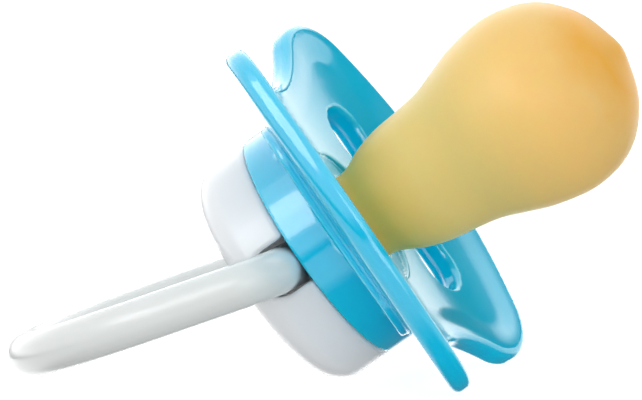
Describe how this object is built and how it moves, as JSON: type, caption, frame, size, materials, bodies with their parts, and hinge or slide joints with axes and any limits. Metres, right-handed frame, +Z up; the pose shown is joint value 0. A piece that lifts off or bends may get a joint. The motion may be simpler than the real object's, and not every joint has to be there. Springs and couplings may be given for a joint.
{
  "type": "pacifier",
  "caption": "Baby pacifier with a cherry-shaped latex teat, a curved butterfly shield with vents, a round button on a collar and a D-shaped handle that swings.",
  "frame": {"origin": "on the surface that the pacifier lies on, under the middle of its bounding box", "axes": "+Z up, +X along the object from the handle towards the teat, +Y towards one cheek; XZ is the plane of symmetry"},
  "size_m": [0.0616, 0.047, 0.0373],
  "materials": {
    "shield_plastic": "glossy moulded polypropylene, sky blue",
    "latex": "satin dipped natural latex, amber and slightly clear",
    "plug_plastic": "moulded polypropylene, sky blue",
    "button_plastic": "moulded polypropylene, white, soft gloss",
    "handle_plastic": "moulded polypropylene, milky and slightly clear, soft gloss"
  },
  "bodies": {
    "pacifier": {"shield": "shield_plastic", "teat": "latex", "plug": "plug_plastic", "button": "button_plastic"},
    "handle": {"handle": "handle_plastic"}
  },
  "joints": [
    {"name": "handle_swing", "type": "hinge", "parent": "pacifier", "child": "handle", "pos_m": [-0.00235, 0, 0.01135], "axis": [0, 1, 0], "range_deg": [-105, 74]}
  ]
}
